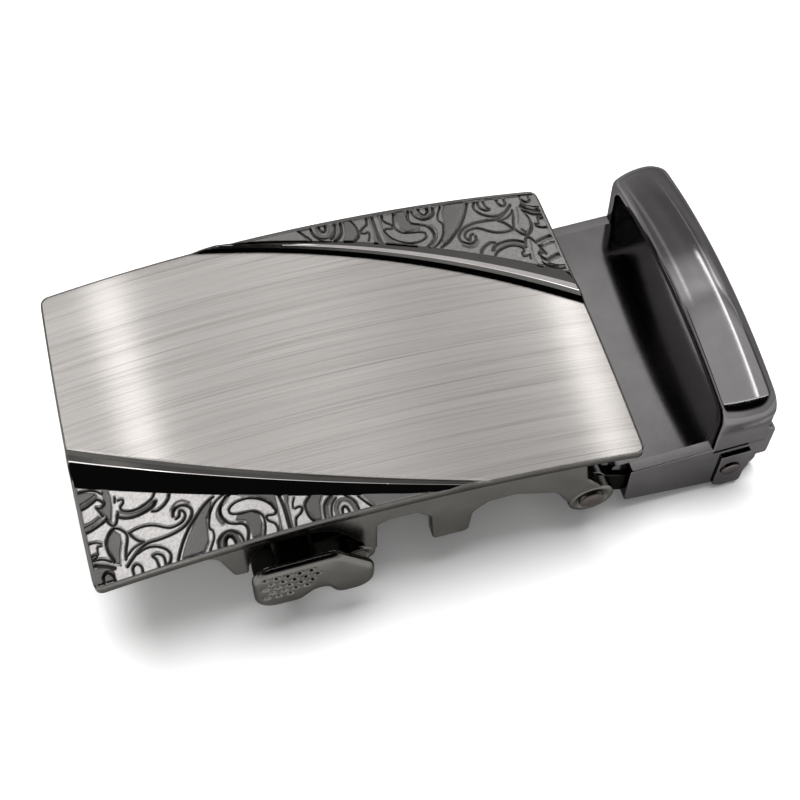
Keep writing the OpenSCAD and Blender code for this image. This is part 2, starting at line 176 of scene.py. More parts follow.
# The panel's strong scratches: y, where the scratch is strongest along x, its half length, darkness.
SCRATCHES = [
    (9.9, -24, 30, 0.1), (7.1, -20, 26, 0.22), (4.1, -24, 24, 0.16), (3.2, -6, 30, 0.08),
    (0.3, -16, 26, 0.14), (-0.6, -20, 24, 0.18), (-1.65, 4, 34, 0.3), (-3.8, 12, 26, 0.1),
    (-6.3, 8, 30, 0.28), (-8.6, 14, 20, 0.16), (-10.6, 10, 24, 0.14), (-13.2, 16, 16, 0.16),
    (-15.4, 20, 14, 0.1)]
SCRATCH_W = 0.16
WORN, PLAIN, FRESH = (0.51, 0.484, 0.461), (0.711, 0.683, 0.661), (0.818, 0.79, 0.765)


def scratch_shade(nt):
    """1 on the plain panel and less on a strong scratch, which fades towards its sides and ends."""
    tc = nt.nodes.new("ShaderNodeTexCoord")
    split = nt.nodes.new("ShaderNodeSeparateXYZ")
    nt.links.new(tc.outputs["Object"], split.inputs[0])
    shade = 1.0
    for y, x, half, dark in SCRATCHES:
        at = placed((x, y, 0))
        gap = calc(nt, "ABSOLUTE", calc(nt, "SUBTRACT", split.outputs[1], float(at[1])))
        reach = calc(nt, "ABSOLUTE", calc(nt, "SUBTRACT", split.outputs[0], float(at[0])))
        line = calc(nt, "MULTIPLY", step(nt, gap, SCRATCH_W / 1000, 0.0), step(nt, reach, half / 1000, 0.0))
        shade = calc(nt, "MULTIPLY", shade, calc(nt, "SUBTRACT", 1.0, calc(nt, "MULTIPLY", line, dark)))
    return shade


def brushed(name):
    """The brushed silver panel: scratches of several widths along X, over its whole length."""
    m, nt, shader = new_material(name)
    shader.inputs["Anisotropic"].default_value = 1.0
    along = nt.nodes.new("ShaderNodeTangent")
    along.direction_type, along.uv_map = "UV_MAP", "brush"
    nt.links.new(along.outputs[0], shader.inputs["Tangent"])
    fine = noise(nt, object_point(nt, (0.01, 1, 0)), 5200, 2, 0.6)
    middle = noise(nt, object_point(nt, (0.012, 1, 0)), 1700, 3, 0.65)
    wide = noise(nt, object_point(nt, (0.02, 1, 0)), 420, 3, 0.6)
    mix = calc(nt, "ADD", calc(nt, "MULTIPLY", middle, 0.45), calc(nt, "MULTIPLY", fine, 0.3))
    mix = calc(nt, "ADD", mix, calc(nt, "MULTIPLY", wide, 0.25))
    tone = ramp(nt, mix, [(0.36, WORN), (0.5, PLAIN), (0.64, FRESH)])
    scaled = nt.nodes.new("ShaderNodeVectorMath")
    scaled.operation = "SCALE"
    nt.links.new(tone, scaled.inputs[0])
    nt.links.new(scratch_shade(nt), scaled.inputs["Scale"])
    nt.links.new(scaled.outputs[0], shader.inputs["Base Color"])
    nt.links.new(ramp(nt, middle, [(0.3, 0.22), (0.7, 0.26)]), shader.inputs["Roughness"])
    bump(nt, mix, 0.12, 0.00001, shader)
    return m


RELIEF_TINT = np.array((1.0, 0.975, 0.963))


def relief_metal(name, ground, dark, pale, painted_groove_shade):
    """Scrollwork from four greys. The vertex colour's red is the dark fields' share, its blue the paler
    strokes' and its green the grooves', which take the last grey as painted shade. The rest is grained
    ground."""
    m, nt, shader = new_material(name)
    at = nt.nodes.new("ShaderNodeVertexColor")
    at.layer_name = "relief"
    split = nt.nodes.new("ShaderNodeSeparateColor")
    nt.links.new(at.outputs["Color"], split.inputs[0])
    red, green, blue = split.outputs
    grain = noise(nt, object_point(nt), 3200, 5, 0.75)
    low, high = tuple(0.61 * ground * RELIEF_TINT), tuple(ground * RELIEF_TINT)
    grained = ramp(nt, grain, [(0.3, low), (0.62, high)])
    color = blend_color(nt, red, grained, tuple(dark * RELIEF_TINT))
    color = blend_color(nt, blue, color, tuple(pale * RELIEF_TINT))
    # The grooves are painted near-black: painted shade in the hollows.
    color = blend_color(nt, green, color, (painted_groove_shade, painted_groove_shade, painted_groove_shade))
    nt.links.new(color, shader.inputs["Base Color"])
    nt.links.new(ramp(nt, red, [(0.0, 0.34), (1.0, 0.2)]), shader.inputs["Roughness"])
    bump(nt, grain, 0.3, 0.00004, shader)
    return m


gun = plating("gunmetal", (0.124, 0.12, 0.112), 0.2)
polish = plating("gunmetal_polished", (0.138, 0.133, 0.135), 0.11, grain=0.04)
facet = plating("ridge_silver", (0.62, 0.59, 0.59), 0.05, grain=0.03)
land = plating("ridge_gunmetal", (0.12, 0.118, 0.112), 0.12, grain=0.06)
# Near-black for parts in deep shade under the cover and at the hinge: painted shade.
inside = plating("inside_painted_shade", (0.022, 0.022, 0.02), 0.35)
steel = plating("pin_steel", (0.12, 0.108, 0.104), 0.24)
silver = brushed("brushed_silver")
relief_near = relief_metal("relief", 0.76, 0.1, 0.2, 0.012)
# The far corner's relief is the near one's material with its ground darkened and its contrast flattened:
# painted shade.
relief_far = relief_metal("relief_far_painted_shade", 0.36, 0.2, 0.28, 0.1)


# Mesh helpers
def make(name, points, faces, mats, body, index=None, sharp=None, weighted=False):
    """A smooth mesh from points in metres; weighted keeps large flat faces flat beside rounded rims."""
    me = bpy.data.meshes.new(name)
    me.from_pydata(np.asarray(points).tolist(), [], [list(map(int, f)) for f in faces])
    for m in mats:
        me.materials.append(m)
    if index is not None:
        me.polygons.foreach_set("material_index", np.asarray(index, np.int32))
    me.polygons.foreach_set("use_smooth", np.ones(len(me.polygons), bool))
    if sharp is not None:
        me.set_sharp_from_angle(angle=math.radians(sharp))
    me.update()
    o = bpy.data.objects.new(name, me)
    bpy.context.scene.collection.objects.link(o)
    if weighted:
        normals = o.modifiers.new("normals", "WEIGHTED_NORMAL")
        normals.mode, normals.weight, normals.keep_sharp = "FACE_AREA", 100, True
    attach(o, body)
    return o


def grid_faces(cols, rows):
    i, j = np.meshgrid(np.arange(cols - 1), np.arange(rows - 1), indexing="ij")
    a = (i * rows + j).ravel()
    return np.stack([a, a + rows, a + rows + 1, a + 1], -1)


def rounded(table, chords=8):
    """An outline from rows of x, z, corner radius, with each corner as an arc."""
    out = []
    n = len(table)
    for i in range(n):
        p = np.array(table[i][:2], float)
        u = np.array(table[i - 1][:2]) - p
        v = np.array(table[(i + 1) % n][:2]) - p
        u, v = u / np.linalg.norm(u), v / np.linalg.norm(v)
        r = table[i][2]
        if r <= 0:
            out.append(p)
            continue
        half = math.acos(np.clip(u @ v, -1, 1)) / 2
        m = p + (u + v) / np.linalg.norm(u + v) * r / math.sin(half)
        s, e = p + u * r / math.tan(half) - m, p + v * r / math.tan(half) - m
        sweep = (math.pi - 2 * half) * np.sign(s[0] * e[1] - s[1] * e[0])
        for t in np.linspace(0, sweep, chords + 1):
            c, k = math.cos(t), math.sin(t)
            out.append(m + (s[0] * c - s[1] * k, s[0] * k + s[1] * c))
    return np.array(out)


def counter_clockwise(p):
    area = (p[:, 0] * np.roll(p[:, 1], -1) - np.roll(p[:, 0], -1) * p[:, 1]).sum()
    return p if area > 0 else p[::-1]


def shrunk(p, by):
    """A counter-clockwise outline moved inwards by a distance."""
    d = np.roll(p, -1, 0) - p
    d /= np.linalg.norm(d, axis=1)[:, None]
    out = np.stack([d[:, 1], -d[:, 0]], -1)
    before = np.roll(out, 1, 0)
    return p - by * (out + before) / (1 + (out * before).sum(1))[:, None]


def plank(name, outline, y_from, y_to, edge, mat, body, place=placed, steps=5):
    """An outline in x and z carried along y, with its two rims rounded by the edge radius."""
    p = counter_clockwise(outline)
    turn = np.radians(np.linspace(0, 90, steps + 1))
    rings = [(edge * (1 - math.sin(a)), y_from + edge * (1 - math.cos(a))) for a in turn]
    rings += [(edge * (1 - math.sin(a)), y_to - edge * (1 - math.cos(a))) for a in turn[::-1]]
    pts = []
    for inset, y in rings:
        q = shrunk(p, inset)
        pts.append(np.stack([q[:, 0], np.full(len(q), y), q[:, 1]], -1))
    n, count = len(p), len(rings)
    faces = []
    for k in range(count - 1):
        for i in range(n):
            j = (i + 1) % n
            faces.append((k * n + i, k * n + j, (k + 1) * n + j, (k + 1) * n + i))
    faces.append(tuple(range(n))[::-1])
    faces.append(tuple((count - 1) * n + i for i in range(n)))
    return make(name, place(np.concatenate(pts)), faces, [mat], body, weighted=True)


def turned(name, x, z, y_face, side, profile, mat, body, place=placed, count=48):
    """A round piece about an axis along y: rows of radius and height out of a wall's face."""
    a = np.linspace(0, 2 * math.pi, count, endpoint=False)
    pts = [np.stack([x + r * np.cos(a), np.full(count, y_face + side * h), z + r * np.sin(a)], -1)
           for r, h in profile]
    faces = []
    for k in range(len(profile) - 1):
        for i in range(count):
            j = (i + 1) % count
            faces.append((k * count + i, k * count + j, (k + 1) * count + j, (k + 1) * count + i))
    faces.append(tuple((len(profile) - 1) * count + i for i in range(count)))
    if side > 0:
        faces = [f[::-1] for f in faces]
    return make(name, place(np.concatenate(pts)), faces, [mat], body, sharp=50, weighted=True)


# The cast top
def arch(x):
    return np.sqrt(ARCH_R ** 2 - x ** 2) - ARCH_R


def arc_y(centre, x):
    return centre[1] - np.sqrt(ARC_R ** 2 - (x - centre[0]) ** 2)


def plan_x(y, inset):
    """Half the plate's length at a distance y from its long middle, with the rounded corners."""
    bow_r = (HALF_W ** 2 + END_BOW ** 2) / (2 * END_BOW)
    x = HALF_L - bow_r + np.sqrt(bow_r ** 2 - y ** 2) - inset
    r = CORNER - inset
    over = np.clip(np.abs(y) - (HALF_W - CORNER), 0, r)
    return x - np.where(over > 0, r - np.sqrt(np.maximum(r ** 2 - over ** 2, 0)), 0)


def ridge(x, y):
    """Height of the left front corner's ridge and ground above the panel."""
    lines = [arc_y(c, x) for c in (PANEL, LAND, CREST, FOOT)]
    levels = [0, RIDGE_H * LAND_RISE, RIDGE_H, -DROP]
    h = np.zeros_like(y)
    for a, b, ha, hb in zip(lines, lines[1:], levels, levels[1:]):
        t = np.clip((a - y) / np.maximum(a - b, 1e-6), 0, 1)
        h = np.where(y < a, ha + (hb - ha) * t, h)
    return h


def height(x, y):
    return ridge(x, y) + ridge(-x, -y)


# The scrollwork of the left front corner. Grooves: width, then the points that the groove runs through.
GROOVES = [
    (0.25, [(-32.4, -7.5), (-31.2, -7.5), (-30, -7.9), (-29.3, -8.6)]),
    (0.35, [(-32.4, -9.7), (-31.5, -9.6), (-30.6, -9.25), (-30, -9), (-29.6, -9.3), (-29.3, -9.8),
            (-29.4, -10.1), (-29.9, -10.2), (-30.2, -10)]),
    (0.3, [(-30.2, -10), (-30, -10.5), (-29.8, -11), (-29.7, -11.3)]),
    (0.35, [(-32.4, -12.7), (-31.4, -12.6), (-30.4, -12.3), (-29.4, -11.9)]),
    (0.3, [(-29.4, -11.7), (-29.2, -12.3), (-28.8, -12.8), (-28.4, -12.7), (-28.2, -12.2), (-28, -11.6)]),
    (0.25, [(-28, -9.5), (-28.1, -10.1)]),
    (0.25, [(-27.7, -10), (-27.2, -10), (-27.2, -10.5), (-27.6, -10.9), (-27.4, -11.4), (-26.8, -11.75),
            (-26, -11.85), (-25, -11.6), (-24, -11.1), (-23.5, -10.4)]),
    (0.4, [(-28, -12), (-27.2, -12.4), (-26.2, -12.55), (-25, -12.4), (-24, -12), (-23.6, -11.5)]),
    (0.35, [(-24.2, -12.6), (-23.6, -12.7), (-22.8, -12.3), (-22.2, -11.7), (-22, -11.2)]),
    (0.3, [(-27.2, -14.3), (-26.3, -14.1), (-25.2, -14.1), (-24.2, -14.4), (-23.2, -15), (-22.5, -15.25),
           (-21.5, -15.1), (-20.95, -14.7), (-20.75, -14.2), (-20.9, -13.7), (-21.2, -13.5),
           (-21.35, -13.9), (-21.5, -14.25), (-21.85, -14.4)]),
    (0.35, [(-22.1, -14), (-22, -13.5), (-21.6, -13.1), (-21, -12.95), (-20.4, -13.2), (-20, -13.7),
            (-20, -14.4), (-20.5, -15.15), (-21.3, -15.7), (-22.5, -16.05), (-24, -16.2), (-25.4, -16.2),
            (-26.3, -16.6), (-27.2, -17.3), (-28.1, -18.2)]),
    (0.35, [(-27.2, -14.3), (-26.9, -14.9), (-26.4, -15.5), (-25.8, -15.9)]),
    (0.2, [(-27.9, -17), (-27.2, -16.4), (-26.5, -16.1), (-26, -16)]),
    (0.3, [(-26.8, -17.1), (-26, -16.8), (-25.2, -16.75), (-24.4, -17), (-23.7, -17.5), (-23.3, -18.1),
           (-23.25, -18.7), (-23.5, -19.3), (-23.8, -19.5)]),
    (0.3, [(-24.7, -19.6), (-24.9, -18.4), (-25.2, -17.9), (-24.7, -17.8), (-24.2, -18.1), (-24, -18.6),
           (-24, -19.5)]),
    (0.3, [(-27.6, -19.3), (-27.6, -18.7), (-27.3, -18.3), (-26.9, -18.3), (-26.6, -18.8),
           (-26.6, -19.6)]),
    (0.3, [(-29.4, -17.2), (-29.6, -16.6), (-29.9, -15.6), (-29.9, -14.6), (-29.4, -13.7), (-28.7, -13.2),
           (-28, -13.6), (-27.5, -14.4), (-27.6, -15.3), (-27.9, -16.2), (-28.1, -17.3)]),
    (0.45, [(-32.4, -16.9), (-31.4, -16.9), (-30.4, -17.3), (-29.5, -17.9)]),
    (0.3, [(-31.8, -16.2), (-30.6, -16.4), (-29.7, -17)]),
    (0.25, [(-30.9, -19.3), (-30.9, -18.7), (-30.6, -18.3), (-30.2, -18.3), (-29.8, -18.8),
            (-29.7, -19.5)]),
    (0.25, [(-32.4, -14.3), (-31.8, -14.1), (-31, -14.15), (-30.4, -14.5)]),
    (0.2, [(-30.4, -14.8), (-30.9, -14.8), (-31, -15.3), (-31, -15.7)]),
    (0.3, [(-31.7, -15.7), (-31.3, -15.6), (-31.2, -15.9), (-31.6, -16.1)]),
    (0.28, [(-17.3, -13.1), (-18.4, -13.7), (-19.5, -14.7), (-20.6, -15.9), (-21.5, -17.2),
            (-22.2, -18.5), (-22.7, -19.7)]),
    (0.2, [(-16.2, -13.2), (-17.2, -13.8), (-18, -14.8), (-18.35, -15.8), (-18.5, -16.7), (-18.2, -17.2),
           (-18.25, -18), (-18.6, -18.7), (-19.1, -19.6)]),
    (0.3, [(-15.5, -13.4), (-16.4, -14), (-16.95, -15), (-16.9, -15.9), (-16.4, -16.7), (-15.6, -17.1),
           (-14.9, -17.3), (-14.5, -17.8), (-14.5, -18.7), (-14.8, -19.6)]),
    (0.25, [(-16, -15.2), (-15.6, -14.8), (-14.8, -14.5), (-13.6, -14.5), (-12.4, -15), (-11.5, -15.8),
            (-11.1, -16.6), (-11, -17.1), (-11.4, -17.3), (-12, -17.2), (-12.2, -17.5), (-12, -17.9),
            (-11.5, -18.3), (-11.3, -18.8), (-11.3, -19.6)]),
    (0.25, [(-16, -15.2), (-15.9, -15.7), (-15.2, -16), (-14.2, -16.1), (-13.2, -16.3), (-12.6, -16.9),
            (-12.45, -17.6), (-12.6, -18.6), (-12.9, -19.6)]),
    (0.28, [(-18, -19.4), (-17.9, -18.6), (-17.4, -18), (-16.7, -17.75), (-16, -17.9), (-15.4, -18.5),
            (-15.2, -19.3)]),
    (0.28, [(-17.2, -19.5), (-17.1, -18.8), (-16.7, -18.4), (-16.3, -18.6), (-16.1, -19.2),
            (-16.1, -19.6)]),
    (0.35, [(-10.25, -15.2), (-10.05, -17), (-10, -19.6)]),
    (0.2, [(-8.7, -16), (-9, -16.6), (-9.1, -17.2)]),
    (0.25, [(-8.9, -17.3), (-8.4, -17.2), (-8.1, -17.5), (-8.4, -18), (-9, -18.4), (-9.2, -18.9),
            (-9.3, -19.6)]),
    (0.25, [(-7, -16.3), (-7.5, -16.7), (-7.8, -17.3), (-7.75, -18.2), (-7.5, -19), (-7.1, -19.6)]),
    (0.22, [(-4.5, -16.8), (-5.2, -17.2), (-5.7, -17.8), (-5.9, -18.6), (-6, -19.7)]),
    (0.2, [(-4.2, -17.3), (-4.8, -17.9), (-5.1, -18.7), (-5.2, -19.5)]),
    (0.28, [(-4, -19.6), (-3.9, -18.9), (-3.6, -18.6), (-3.3, -18.9), (-3.15, -19.6)]),
    (0.2, [(-3.2, -17.3), (-2.6, -17.9), (-2.2, -18.6), (-2.1, -19.5)]),
    (0.25, [(-1.8, -17.8), (-1.4, -18.4), (-0.9, -19.1), (-0.5, -19.6)])]
# Raised fields with dark plating, as outlines.
FIELDS = [
    [(-32.3, -7.7), (-31.2, -7.8), (-30.2, -8.2), (-29.9, -8.5), (-30.9, -8.9), (-32.3, -9.3)],
    [(-32.3, -11.6), (-31.2, -11.5), (-30.2, -11.1), (-29.9, -11.5), (-31, -12), (-32.3, -12.2)],
    [(-29.3, -7.7), (-28.6, -8.1), (-28.4, -9.4), (-28.5, -10.6), (-28.7, -11.5), (-28.9, -12.4),
     (-29.4, -11.6), (-29.7, -10.6), (-29.2, -10), (-29.3, -8.9)],
    [(-28.8, -13.5), (-28.2, -14.2), (-28.2, -15.2), (-28.6, -16.4), (-28.8, -17.8), (-29.2, -17.6),
     (-29.5, -16.6), (-29.75, -15.4), (-29.5, -14.2)],
    [(-17.6, -13.4), (-18.8, -14.3), (-19.9, -15.5), (-20.9, -16.9), (-21.7, -18.3), (-22.2, -19.4),
     (-19.6, -19.4), (-18.9, -18.3), (-18.75, -17), (-18.6, -15.6), (-17.8, -14.4)],
    [(-15.3, -16.3), (-13.6, -16.3), (-12.9, -16.9), (-12.8, -18), (-13.2, -19.4), (-14.2, -19.4),
     (-14.2, -18), (-14.5, -17.2), (-15.6, -16.8)],
    [(-14.6, -13.7), (-12.5, -14.4), (-10.7, -14.9), (-10.7, -16.5), (-10.8, -19.4), (-11.1, -19.4),
     (-11, -18), (-10.9, -16.6), (-11.6, -15.4), (-12.9, -14.5), (-14.4, -14)],
    [(-9.8, -15.3), (-9.2, -15.4), (-9.5, -16.5), (-9.6, -19.4), (-9.85, -19.4)],
    [(-6.8, -16.3), (-5.6, -16.6), (-6.1, -17.5), (-6.4, -19.4), (-7.2, -19.4), (-7.6, -18.2),
     (-7.6, -17.2)],
    [(-32.2, -17.3), (-31, -17.4), (-30, -17.8), (-29.6, -18.5), (-29.5, -19.4), (-32, -19.4)]]
# Raised bands with dark plating: width, then their points.
BANDS = [
    (0.45, [(-15.9, -13.6), (-16.9, -14.6), (-17.3, -15.6), (-17, -16.6)]),
    (0.25, [(-4.6, -17.1), (-5.3, -17.8), (-5.55, -18.7), (-5.6, -19.5)]),
    (0.5, [(-4.6, -19.5), (-4.5, -18.5), (-3.9, -17.8), (-3.2, -17.9), (-2.7, -18.5), (-2.5, -19.5)]),
    (0.4, [(-17.6, -19.4), (-17.4, -18.7), (-16.7, -18.1), (-16, -18.5), (-15.7, -19.4)])]
# The same with paler plating.
PALE_FIELDS = [[(-1.4, -17.7), (0.5, -18.2), (3, -18.9), (6.2, -19.6), (-0.3, -19.6), (-0.9, -18.7)]]
PALE_BANDS = [
    (0.35, [(-28, -11.4), (-27, -12), (-26, -12.15), (-25, -12), (-24, -11.5)]),
    (0.3, [(-22.2, -13.2), (-21.6, -12.6), (-20.8, -12.5), (-20.1, -13)])]


def through(points, sub=5):
    """A smooth line through the points."""
    p = np.array(points, float)
    if len(p) < 3:
        return p
    p = np.vstack([2 * p[0] - p[1], p, 2 * p[-1] - p[-2]])
    t = np.linspace(0, 1, sub, endpoint=False)[:, None]
    out = [0.5 * (2 * b + (c - a) * t + (2 * a - 5 * b + 4 * c - d) * t ** 2
                  + (3 * b - a - 3 * c + d) * t ** 3)
           for a, b, c, d in zip(p, p[1:], p[2:], p[3:])]
    return np.vstack(out + [p[-2:-1]])


def to_line(q, line):
    """Distance of each point to a line."""
    best = np.full(len(q), 9.0)
    for a, b in zip(line, line[1:]):
        d = b - a
        t = np.clip(((q - a) @ d) / (d @ d), 0, 1)
        best = np.minimum(best, np.linalg.norm(q - (a + t[:, None] * d), axis=1))
    return best


def to_field(q, corners):
    """Distance of each point to an outline, negative inside it."""
    p = np.array(corners, float)
    inside = np.zeros(len(q), bool)
    for a, b in zip(p, np.roll(p, -1, 0)):
        crosses = (a[1] > q[:, 1]) != (b[1] > q[:, 1])
        inside ^= crosses & (q[:, 0] < a[0] + (q[:, 1] - a[1]) * (b[0] - a[0]) / (b[1] - a[1] + 1e-12))
    gap = to_line(q, np.vstack([p, p[:1]]))
    return np.where(inside, -gap, gap)


def nearest(q, shapes, gap_to):
    """The smallest distance of each point to a list of shapes, worked out only round each shape."""
    best = np.full(len(q), 9.0)
    for shape in shapes:
        line = np.array(shape[1] if isinstance(shape, tuple) else shape, float)
        near = ((q > line.min(0) - 1) & (q < line.max(0) + 1)).all(1)
        if near.any():
            best[near] = np.minimum(best[near], gap_to(q[near], shape))
    return best


def band_gap(q, shape):
    return to_line(q, through(shape[1])) - shape[0] / 2


# The relief starts EDGE_IN from the plate's side, ends RELIEF_END half lengths beyond its middle and laps
# LAP over the ridge's foot, where it dips SKIRT below the ground. Strokes have slopes SLOPE_W wide.
EDGE_IN, RELIEF_END, LAP, SKIRT = 0.25, 0.25, 0.06, 0.1
BORDER = 0.5
SLOPE_W = 0.14
# GROOVE_SHADE is how fully the grooves take the near-black painted shade.
GROOVE_DEEP, GROOVE_SHADE = 0.2, 0.97
PALE_RISE = 0.8


def share_of(q, fields, bands):
    """Each point's share of some fields and bands, from 0 outside to 1 inside over the slope's width."""
    return ease(0.5 - np.minimum(nearest(q, fields, to_field), nearest(q, bands, band_gap)) / SLOPE_W)


def relief(name, opposite):
    """One corner's scrollwork: the left front one, or turned half round as the opposite one, whose greys are
    darkened as painted shade.
    """
    cols, rows = ((640, 140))
    s = np.linspace(-1, RELIEF_END, cols)
    x0 = s * HALF_L
    edge = HALF_W - EDGE_IN
    top = np.maximum(arc_y(FOOT, x0) + LAP, -edge)
    ys = -edge + (top + edge)[:, None] * np.linspace(0, 1, rows)[None, :]
    xs = s[:, None] * plan_x(ys, EDGE_IN)
    q = np.stack([xs.ravel(), ys.ravel()], -1)
    groove = ease(0.5 - nearest(q, GROOVES, band_gap) / SLOPE_W)
    dark = share_of(q, FIELDS, BANDS)
    pale = share_of(q, PALE_FIELDS, PALE_BANDS)
    border = np.minimum(q[:, 1] + HALF_W, q[:, 0] + plan_x(q[:, 1], 0))
    border = ease(0.5 - (border - BORDER) / SLOPE_W)
    groove = groove * (1 - border)
    dark = np.maximum(dark, border)
    h = -DROP + DROP * np.maximum(dark, PALE_RISE * pale) - GROOVE_DEEP * groove
    h.reshape(cols, rows)[:, -1] = -DROP - SKIRT
    z = arch(q[:, 0]) + h
    pts = np.column_stack([q, z])
    if opposite:
        pts = pts * (-1, -1, 1)
    faces = grid_faces(cols, rows)
    faces = faces[(top + edge)[faces[:, 0] // rows] > 1e-3]
    o = make(name, placed(pts), faces, [relief_far if opposite else relief_near], "cover")
    col = o.data.color_attributes.new(name="relief", type="FLOAT_COLOR", domain="POINT")
    # Green is the grooves' share of the painted shade.
    rgba = np.column_stack([dark, GROOVE_SHADE * groove, pale * (1 - dark), np.ones(len(q))])
    col.data.foreach_set("color", rgba.astype(np.float32).ravel())
    return o


# The ridge's three faces, each from one line to the next, with its rows' shares of the way.
RISES = [
    (FOOT, CREST, (0, 0.04, 0.68, 0.93)),
    (CREST, LAND, (0, 0.15, 0.88)),
    (LAND, PANEL, (0, 0.1, 0.9))]
DENSE_FROM = 0.97
SILVER, PLATED, BRIGHT = 0, 1, 2
# The far flank's outermost rows take the dark gunmetal as painted shade.
PAINTED_SHADE_ROWS = 2


def panel_and_ridges():
    """The cover's face but for the scrollwork, in rows from the near edge to the far one."""
    left, right = np.linspace(-1, -DENSE_FROM, 8)[:-1], np.linspace(DENSE_FROM, 1, 8)[1:]
    s = np.concatenate([left, np.linspace(-DENSE_FROM, DENSE_FROM, 150), right])
    x0 = s * HALF_L
    edge = HALF_W - EDGE_IN
    lines = [(1 - t) * arc_y(a, x0) + t * arc_y(b, x0) for a, b, shares in RISES for t in shares]
    low, high = arc_y(PANEL, x0), -arc_y(PANEL, -x0)
    inner = [low + (high - low) * t for t in np.linspace(0, 1, 90)]
    upper = [-(1 - t) * arc_y(b, -x0) - t * arc_y(a, -x0)
             for a, b, shares in RISES[::-1] for t in sorted(1 - t for t in shares)]
    ys = np.clip(np.stack(lines + inner + upper, -1), -edge, edge)
    xs = s[:, None] * plan_x(ys, EDGE_IN)
    z = arch(xs) + height(np.broadcast_to(x0[:, None], ys.shape), ys)
    n = ys.shape[1]
    faces = grid_faces(len(s), n)
    row = faces[:, 0] % n
    side = len(lines)
    flank = len(RISES[0][2]) + 1
    index = np.full(len(faces), PLATED)
    index[(row >= side) & (row < side + len(inner) - 1)] = SILVER
    index[(row < flank) | (row >= n - 1 - flank)] = BRIGHT
    # Painted shade: the far flank's outer rows are dark gunmetal instead of silver.
    index[row >= n - 1 - PAINTED_SHADE_ROWS] = PLATED
    span = np.abs(np.diff(ys, axis=1)).ravel()
    step_at = faces[:, 0] // n * (n - 1) + row
    keep = span[step_at] + span[step_at + n - 1] > 1e-6
    o = make("panel_and_ridges", placed(np.stack([xs, ys, z], -1).reshape(-1, 3)), faces[keep],
             [silver, land, facet], "cover", index[keep], sharp=40)
    lay_brush(o.data)
    return o


def lay_brush(me):
    """A UV map whose U runs along y, so that the brushed metal's highlights spread across its scratches."""
    uv = me.uv_layers.new(name="brush")
    co = np.zeros(len(me.vertices) * 3)
    me.vertices.foreach_get("co", co)
    co = co.reshape(-1, 3)
    corner = np.zeros(len(me.loops), np.int32)
    me.loops.foreach_get("vertex_index", corner)
    uv.data.foreach_set("uv", np.stack([co[corner, 1] * 20, -co[corner, 0] * 20], -1).ravel())


# The edge's rows: inset from the plan and depth below the top. The ridge's rise fades out below RIM_FULL
# over RIM_FADE.
EDGE_ROWS = [(0.27, 0.0), (0.05, 0.0), (0.0, 0.05), (0.0, 0.95), (0.1, 1.15), (0.25, PLATE_T)]
RIM_FULL, RIM_FADE = 0.22, 0.7


def plate_edge():
    """The plate's rounded edge, its side and its underside, swept round the plan."""
    bow_r = (HALF_W ** 2 + END_BOW ** 2) / (2 * END_BOW)
    cx, cy = HALF_L - END_BOW - CORNER, HALF_W - CORNER
    pts = [(x, -HALF_W, 0, -1) for x in np.linspace(-cx, cx, 130)]
    for a in np.radians(np.linspace(-90, 0, 12))[1:]:
        pts.append((cx + CORNER * math.cos(a), -cy + CORNER * math.sin(a), math.cos(a), math.sin(a)))
    for y in np.linspace(-cy, cy, 80)[1:-1]:
        pts.append((HALF_L - bow_r + math.sqrt(bow_r ** 2 - y ** 2), y, 1, 0))
    for a in np.radians(np.linspace(0, 90, 12))[:-1]:
        pts.append((cx + CORNER * math.cos(a), cy + CORNER * math.sin(a), math.cos(a), math.sin(a)))
    half = np.array(pts)
    ring = np.vstack([half, half * (-1, -1, -1, -1)])
    at = ring[:, :2] - ring[:, 2:] * EDGE_ROWS[0][0]
    h = np.maximum(height(at[:, 0], at[:, 1]), 0)
    rows = []
    for inset, down in EDGE_ROWS:
        q = ring[:, :2] - ring[:, 2:] * inset
        keep = np.clip(1 - (down - RIM_FULL) / RIM_FADE, 0, 1)
        rows.append(np.stack([q[:, 0], q[:, 1], arch(q[:, 0]) + h * keep - down], -1))
    flat = rows[-1]
    for share in np.linspace(0.75, 0, 4):
        y = flat[:, 1] * share
        rows.append(np.stack([flat[:, 0], y, arch(flat[:, 0]) - PLATE_T], -1))
    pts = np.stack(rows, 1)
    n, m = pts.shape[:2]
    faces = []
    for i in range(n):
        k = (i + 1) % n
        for j in range(m - 1):
            faces.append((i * m + j, i * m + j + 1, k * m + j + 1, k * m + j))
    return make("plate_edge", placed(pts.reshape(-1, 3)), faces, [gun], "cover", sharp=40)


# The walls' outlines, seen from the front: x, z, corner radius. Their upper edge follows the arch.
WALL_FRONT = [
    (-18.6, -2.8, 2.2), (-17, -8.8, 0.7), (-15.3, -8.8, 0.4), (-15.2, -7.6, 0), (-14.2, -2.7, 3),
    (-5.6, -2.7, 4.6), (-1.9, -8.6, 2.4), (-1.9, -11, 0), (-0.1, -11, 0), (-0.1, -5.1, 0.7),
    (1.2, -4.3, 0.9), (4.6, -4.3, 1.2), (6.3, -6.4, 0.8), (6.7, -12.6, 0.7), (11.2, -12.6, 0.7),
    (11.5, -8, 1.3), (13.3, -6.1, 1.6), (16.6, -6.1, 2.5), (21.9, -8.6, 2.5), (24.3, -13.4, 0),
    (HINGE_X, HINGE_Z, 0), (29, -11.5, 0), (25.7, -7, 2), (25.1, -3.2, 0.6)]
WALL_BACK = WALL_FRONT[:1] + [(-17, -8.8, 0.9), (-6.2, -8.8, 1.6), (-3.6, -11.4, 0.8)] + WALL_FRONT[8:]
WALL_START, WALL_END = (-23.3, -2.3), 25.1
UNDER_PLATE = 0.75
WALL_EDGE = 0.3
